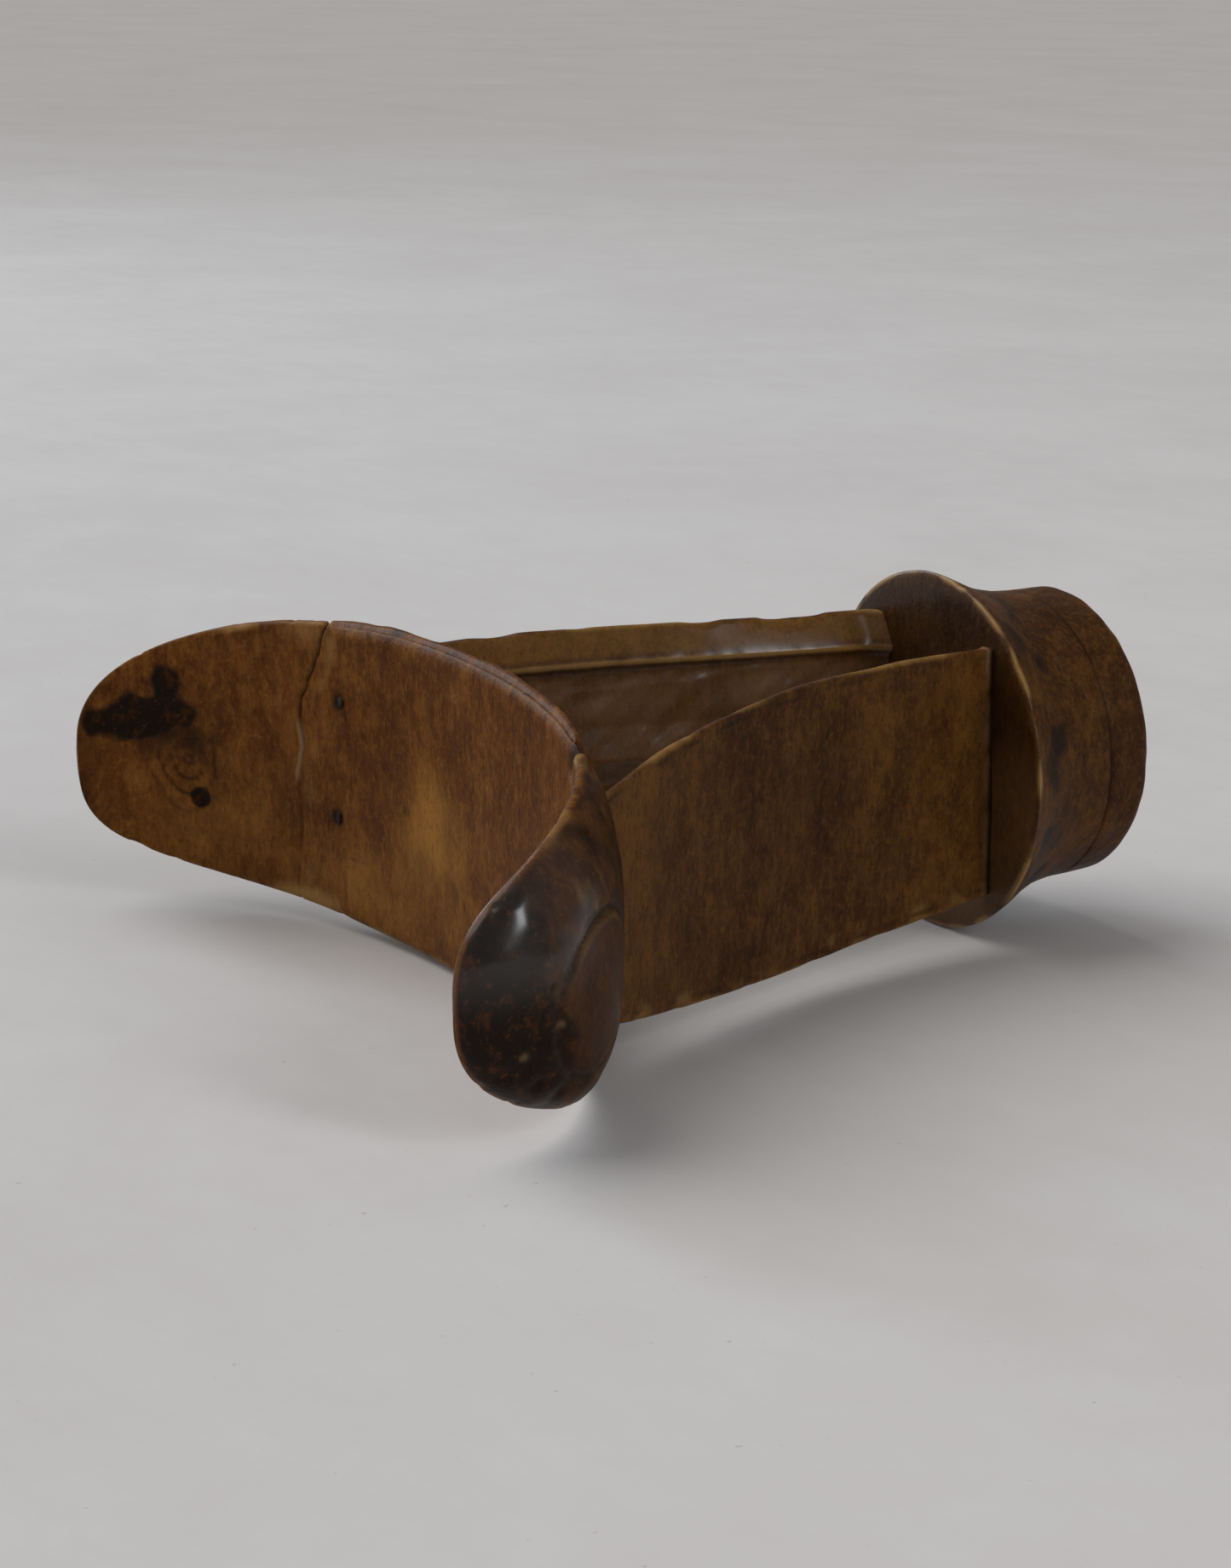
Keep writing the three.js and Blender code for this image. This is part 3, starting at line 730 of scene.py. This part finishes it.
class Shader:
    """A node material under construction: its methods add nodes and return their outputs."""

    def __init__(self, name):
        self.material = bpy.data.materials.new(name)
        self.material.use_nodes = True
        self.tree = self.material.node_tree
        self.surface = self.tree.nodes["Principled BSDF"]

    def node(self, kind, settings=(), **inputs):
        node = self.tree.nodes.new(kind)
        for key, value in dict(settings).items():
            setattr(node, key, value)
        for key, value in inputs.items():
            self.feed(node.inputs[key.replace("_", " ")], value)
        return node

    def feed(self, socket, value):
        if isinstance(value, bpy.types.NodeSocket):
            self.tree.links.new(value, socket)
        else:
            socket.default_value = value

    def place(self, stretch):
        """Object coordinates, squeezed so that patterns stretch along some directions."""
        coordinates = self.node("ShaderNodeTexCoord").outputs["Object"]
        mapping = self.node("ShaderNodeMapping", Vector=coordinates)
        mapping.inputs["Scale"].default_value = stretch
        return mapping.outputs["Vector"]

    def noise(self, stretch, scale, detail, roughness, distortion=0.0):
        return self.node(
            "ShaderNodeTexNoise", Vector=self.place(stretch), Scale=scale, Detail=detail,
            Roughness=roughness, Distortion=distortion,
        ).outputs["Fac"]

    def math(self, operation, a, b, clamp=False):
        node = self.node("ShaderNodeMath", {"operation": operation, "use_clamp": clamp})
        self.feed(node.inputs[0], a)
        self.feed(node.inputs[1], b)
        return node.outputs[0]

    def ramp(self, value, low, high):
        """0 below low, 1 above high."""
        node = self.node("ShaderNodeMapRange", {"interpolation_type": "SMOOTHSTEP"}, Value=value)
        node.inputs["From Min"].default_value = low
        node.inputs["From Max"].default_value = high
        return node.outputs["Result"]

    def mix(self, share, a, b):
        node = self.node("ShaderNodeMix", {"data_type": "RGBA"})
        self.feed(node.inputs[0], share)
        self.feed(node.inputs[6], a)
        self.feed(node.inputs[7], b)
        return node.outputs[2]

    def attribute(self, name):
        return self.node("ShaderNodeAttribute", {"attribute_name": name}).outputs["Fac"]

    def bump(self, height, distance, strength, normal=None):
        node = self.node("ShaderNodeBump", Height=height, Strength=strength, Distance=distance)
        if normal is not None:
            self.feed(node.inputs["Normal"], normal)
        return node.outputs["Normal"]


EVEN = (1, 1, 1)
# pale colour for the crack's filler, pale specks and dust, and for painted sheen and painted light
PALE_COLOUR = (0.34, 0.2, 0.1, 1)
BARE_COAT = 0.025
POLISHED_COAT = 0.95
COAT_ROUGHNESS = 0.2
WOOD_SPECULAR = 0.07
PIT_BLACK = (0.012, 0.010, 0.009, 1)
IRON_BROWN = (0.05, 0.033, 0.022, 1)
BOARD_DARK = (0.6, 0.572, 0.558, 1)
BOARD_LIGHT = (0.65, 0.63, 0.615, 1)
BOARD_SPECK = (0.3, 0.26, 0.24, 1)


def wood(name, deep, middle, light, ochre, black, shine, coarse):
    """Old, much-used wood: grain along the block, blotches, flecks, rubbed and blackened places, and
    the painted shade, painted highlights and painted sheen marked on the pieces.
    """
    s = Shader(name)
    blotch = s.noise((1, 1, 0.7), scale=60, detail=3, roughness=0.6, distortion=0.3)
    mottle = s.noise((1, 1, 0.8), scale=260, detail=6, roughness=0.75, distortion=0.3)
    grain = s.noise((1, 1, 0.2), scale=620, detail=5, roughness=0.7)
    fleck = s.noise((1, 1, 0.4), scale=1500, detail=4, roughness=0.8)
    speck = s.noise((1, 1, 0.6), scale=1000, detail=4, roughness=0.75)
    grit = s.noise(EVEN, scale=900, detail=3, roughness=0.7)
    tone = s.math("ADD", s.math("MULTIPLY", blotch, 0.36), s.math("MULTIPLY", mottle, 0.4))
    tone = s.math("ADD", tone, s.math("MULTIPLY", grain, 0.24))
    colour = s.mix(s.ramp(tone, 0.36, 0.58), deep, middle)
    colour = s.mix(s.math("MULTIPLY", s.ramp(tone, 0.46, 0.66), 0.6 * coarse), colour, light)
    golden = s.math("MULTIPLY", s.attribute("gold"), s.math("ADD", tone, 0.15))
    colour = s.mix(s.math("MULTIPLY", s.ramp(golden, 0, 0.85), 0.85), colour, light)
    colour = s.mix(s.math("MULTIPLY", s.ramp(speck, 0.5, 0.66), 0.45 * coarse), colour, light)
    colour = s.mix(s.math("MULTIPLY", s.ramp(fleck, 0.52, 0.64), 0.68 * coarse), colour, black)
    # ochre for rubbed wood, and for painted highlights
    wear_and_highlight = s.math("MULTIPLY", s.attribute("wear_and_highlight"), s.math("ADD", mottle, 0.5))
    worn = s.ramp(wear_and_highlight, 0.15, 0.8)
    colour = s.mix(worn, colour, ochre)
    # dark colour for black stains and darkened places, and for painted shade
    darkness = s.math("MULTIPLY", s.attribute("dark"), s.math("ADD", mottle, 0.55))
    dark_share = s.ramp(darkness, 0.05, 0.85)
    dark_colour = s.mix(s.math("MULTIPLY", s.ramp(mottle, 0.5, 0.66), 0.7), black, deep)
    dark_colour = s.mix(s.math("MULTIPLY", s.ramp(grit, 0.6, 0.7), 0.4), dark_colour, middle)
    colour = s.mix(dark_share, colour, dark_colour)
    colour = s.mix(s.attribute("pale"), colour, PALE_COLOUR)
    s.feed(s.surface.inputs["Base Color"], colour)
    roughness = s.math("ADD", s.math("MULTIPLY", mottle, 0.3), shine)
    roughness = s.math("ADD", roughness, s.math("MULTIPLY", worn, 0.12), clamp=True)
    s.feed(s.surface.inputs["Roughness"], roughness)
    s.surface.inputs["Specular IOR Level"].default_value = WOOD_SPECULAR
    coat = s.math("MULTIPLY_ADD", s.attribute("gloss"), POLISHED_COAT)
    coat.node.inputs[2].default_value = BARE_COAT
    s.feed(s.surface.inputs["Coat Weight"], coat)
    s.surface.inputs["Coat Roughness"].default_value = COAT_ROUGHNESS
    normal = s.bump(grain, 0.3 * MM, 0.4)
    normal = s.bump(speck, 0.3 * MM, 0.35, normal)
    normal = s.bump(mottle, 1.0 * MM, 0.4, normal)
    s.feed(s.surface.inputs["Normal"], normal)
    return s.material


def iron():
    """Dull, pitted old iron."""
    s = Shader("nail_iron")
    pits = s.noise(EVEN, scale=1800, detail=4, roughness=0.7)
    colour = s.mix(s.ramp(pits, 0.4, 0.65), PIT_BLACK, IRON_BROWN)
    s.feed(s.surface.inputs["Base Color"], colour)
    s.surface.inputs["Metallic"].default_value = 0.6
    s.surface.inputs["Roughness"].default_value = 0.6
    s.feed(s.surface.inputs["Normal"], s.bump(pits, 0.2 * MM, 0.8))
    return s.material


def floor_material():
    """A pale matt board with faint clouds, brush marks and a few specks."""
    s = Shader("pale_board")
    clouds = s.noise(EVEN, scale=7, detail=4, roughness=0.6, distortion=0.4)
    brushed = s.noise((1, 0.6, 1), scale=60, detail=6, roughness=0.7)
    specks = s.noise(EVEN, scale=420, detail=2, roughness=0.5)
    share = s.math("ADD", s.math("MULTIPLY", clouds, 0.6), s.math("MULTIPLY", brushed, 0.4))
    colour = s.mix(s.ramp(share, 0.3, 0.7), BOARD_DARK, BOARD_LIGHT)
    colour = s.mix(s.math("MULTIPLY", s.ramp(specks, 0.73, 0.8), 0.5), colour, BOARD_SPECK)
    s.feed(s.surface.inputs["Base Color"], colour)
    s.surface.inputs["Roughness"].default_value = 0.9
    s.surface.inputs["Specular IOR Level"].default_value = 0.2
    return s.material


def set_material(piece, material):
    piece.data.materials.clear()
    piece.data.materials.append(material)


saddle_wood = wood(
    "saddle_wood",
    deep=(0.072, 0.022, 0.004, 1),
    middle=(0.143, 0.046, 0.007, 1),
    light=(0.38, 0.168, 0.030, 1),
    ochre=(0.33, 0.18, 0.055, 1),
    black=(0.011, 0.0055, 0.0025, 1),
    shine=0.25,
    coarse=0.6,
)
stem_wood = wood(
    "stem_wood",
    deep=(0.033, 0.011, 0.003, 1),
    middle=(0.078, 0.028, 0.006, 1),
    light=(0.180, 0.075, 0.014, 1),
    ochre=(0.33, 0.18, 0.052, 1),
    black=(0.012, 0.007, 0.004, 1),
    shine=0.28,
    coarse=0.85,
)

set_material(build_saddle(), saddle_wood)
set_material(build_panel("near_panel_carved", 1, 60), stem_wood)
set_material(build_panel("far_panel_carved", -1, 80), stem_wood)
set_material(build_base(), stem_wood)
nail_iron = iron()
for nail_name, (nail_arc, nail_across) in NAILS.items():
    set_material(build_nail(nail_name, nail_arc, nail_across), nail_iron)

# ---- Floor ----

FLOOR_HALF_SIZE = 60.0


def build_floor():
    corners = [(-1, -1), (1, -1), (1, 1), (-1, 1)]
    points = [(x * FLOOR_HALF_SIZE, y * FLOOR_HALF_SIZE, 0) for x, y in corners]
    mesh = bpy.data.meshes.new("floor")
    mesh.from_pydata(points, [], [(0, 1, 2, 3)])
    floor = bpy.data.objects.new("floor", mesh)
    bpy.context.scene.collection.objects.link(floor)
    set_material(floor, floor_material())


build_floor()

# ---- Light: an overcast sky, a tall window in front and one behind ----

SKY_DISTANCE = 2.0
SKY_ENERGY = 1.75
SKY_SPREAD = 62
WINDOW_WIDTH = 0.42
WINDOW_HEIGHT = 0.9
WINDOW_DISTANCE = 1.9
AIR_COLOUR = (1.0, 0.985, 0.975, 1)
AIR_LIGHT = 0.2
AIR_SEEN = 0.45


def towards(azimuth, elevation):
    """The direction to a place round the origin: azimuth 0 is -Y and 90 is +X."""
    a, e = math.radians(azimuth), math.radians(elevation)
    return Vector((math.sin(a) * math.cos(e), -math.cos(a) * math.cos(e), math.sin(e)))


def add_lamp(name, light, direction, distance):
    lamp = bpy.data.objects.new(name, light)
    lamp.location = direction * distance
    lamp.rotation_mode = "QUATERNION"
    lamp.rotation_quaternion = direction.to_track_quat("Z", "Y")
    bpy.context.scene.collection.objects.link(lamp)


def add_window(name, azimuth, elevation, watts, tint):
    light = bpy.data.lights.new(name, "AREA")
    light.shape = "RECTANGLE"
    light.size = WINDOW_WIDTH
    light.size_y = WINDOW_HEIGHT
    light.energy = watts
    light.color = tint
    add_lamp(name, light, towards(azimuth, elevation), WINDOW_DISTANCE)


sky = bpy.data.lights.new("overcast", "SUN")
sky.energy = SKY_ENERGY
sky.angle = math.radians(SKY_SPREAD)
add_lamp("overcast", sky, towards(-140, 50), SKY_DISTANCE)
add_window("front_window", 13, 29, 9.5, (0.95, 0.975, 1.0))
add_window("back_window", -165, 24, 9, (0.75, 0.87, 1.0))

world = bpy.data.worlds.new("room")
world.use_nodes = True
background = world.node_tree.nodes["Background"]
background.inputs["Color"].default_value = AIR_COLOUR
# the camera sees the air brighter than it lights the scene
rays = world.node_tree.nodes.new("ShaderNodeLightPath")
strength = world.node_tree.nodes.new("ShaderNodeMapRange")
strength.inputs["To Min"].default_value = AIR_LIGHT
strength.inputs["To Max"].default_value = AIR_SEEN
world.node_tree.links.new(rays.outputs["Is Camera Ray"], strength.inputs["Value"])
world.node_tree.links.new(strength.outputs["Result"], background.inputs["Strength"])
bpy.context.scene.world = world

# ---- Camera ----

CAMERA_AZIMUTH = -30.91
CAMERA_ELEVATION = 13.5
CAMERA_ROLL = 0.793
CAMERA_DISTANCE = 0.75
CAMERA_AIM = Vector((-0.00841, 0.00574, 0.03584))
CAMERA_LENS = 88.0


def build_camera():
    back = towards(CAMERA_AZIMUTH, CAMERA_ELEVATION)
    camera = bpy.data.objects.new("camera", bpy.data.cameras.new("camera"))
    camera.data.lens = CAMERA_LENS
    camera.location = CAMERA_AIM + back * CAMERA_DISTANCE
    camera.rotation_mode = "QUATERNION"
    roll = Quaternion((0, 0, 1), math.radians(CAMERA_ROLL))
    camera.rotation_quaternion = (-back).to_track_quat("-Z", "Y") @ roll
    bpy.context.scene.collection.objects.link(camera)
    bpy.context.scene.camera = camera


build_camera()
bpy.context.scene.view_settings.view_transform = "Standard"
